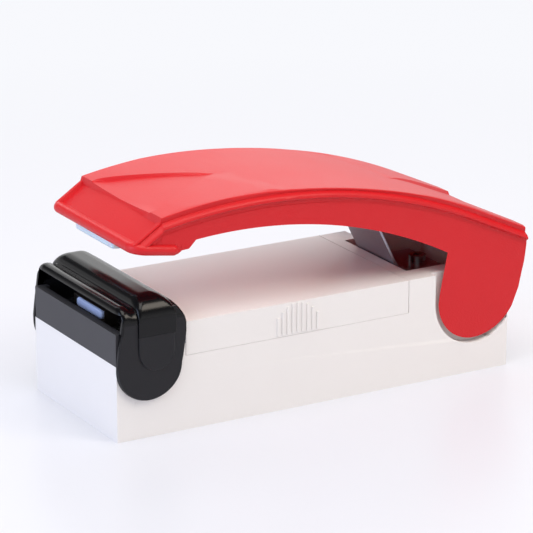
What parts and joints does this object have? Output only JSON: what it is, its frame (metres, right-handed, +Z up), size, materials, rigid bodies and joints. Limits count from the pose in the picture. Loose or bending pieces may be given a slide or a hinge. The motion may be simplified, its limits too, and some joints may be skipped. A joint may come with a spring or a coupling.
{
  "type": "bag sealer",
  "caption": "Handheld battery bag sealer with a hinged press handle, a flip-up safety cover over the heater and a lift-off battery cover.",
  "frame": {"origin": "centre of the body's flat underside", "axes": "+X towards the handle's hinge, -X towards the heater, +Z up"},
  "size_m": [0.1048, 0.0422, 0.0504],
  "materials": {
    "white_abs": "moulded, fine satin",
    "red_abs": "moulded, satin with a fine texture",
    "black_abs": "moulded, gloss above the mould line",
    "dark_heat_plastic": "moulded, matt",
    "pale_ceramic": "smooth, pale blue-white",
    "silicone": "smooth, translucent white",
    "spring_steel": "rolled, bright",
    "screw_steel": "zinc plated",
    "contact_nickel": "nickel plated",
    "brass": "pressed",
    "resistance_alloy": "rolled ribbon",
    "ptfe_glass": "coated glass weave",
    "mica": "layered sheet",
    "cell_sleeve": "plain shrink sleeve",
    "red_pvc": "extruded",
    "blue_pvc": "extruded",
    "black_pvc": "extruded"
  },
  "bodies": {
    "root": {"body_shell": "white_abs", "heater_carrier": "dark_heat_plastic", "heat_insulator": "mica", "heater_block": "pale_ceramic", "heating_element": "resistance_alloy", "release_tape": "ptfe_glass", "element_terminals": "brass", "terminal_screws": "screw_steel", "carrier_screws": "screw_steel", "left_cell": "cell_sleeve", "right_cell": "cell_sleeve", "positive_contact": "contact_nickel", "negative_contact": "contact_nickel", "cell_link": "contact_nickel", "red_lead": "red_pvc", "black_lead": "black_pvc", "blue_lead": "blue_pvc", "switch_blade": "brass", "switch_anvil": "brass", "switch_rivets": "brass", "leaf_spring": "spring_steel", "spring_screw": "screw_steel"},
    "handle": {"handle": "red_abs", "pressure_pad": "silicone"},
    "safety_cover": {"safety_cover": "black_abs"},
    "battery_cover": {"battery_cover": "white_abs"}
  },
  "joints": [
    {"name": "handle_press", "type": "hinge", "parent": "root", "child": "handle", "pos_m": [0.0406, 0, 0.0175], "axis": [0, -1, 0], "range_deg": [0, 5], "stiffness_Nm_per_rad": 1.95, "springref_deg": -2.35, "deforming": ["leaf_spring"]},
    {"name": "safety_cover_flip", "type": "hinge", "parent": "root", "child": "safety_cover", "pos_m": [-0.0428, 0, 0.0156], "axis": [0, -1, 0], "range_deg": [0, 95]},
    {"name": "battery_cover_lift", "type": "slide", "parent": "root", "child": "battery_cover", "axis": [0, 0, 1], "range_m": [0, 0.005]}
  ]
}
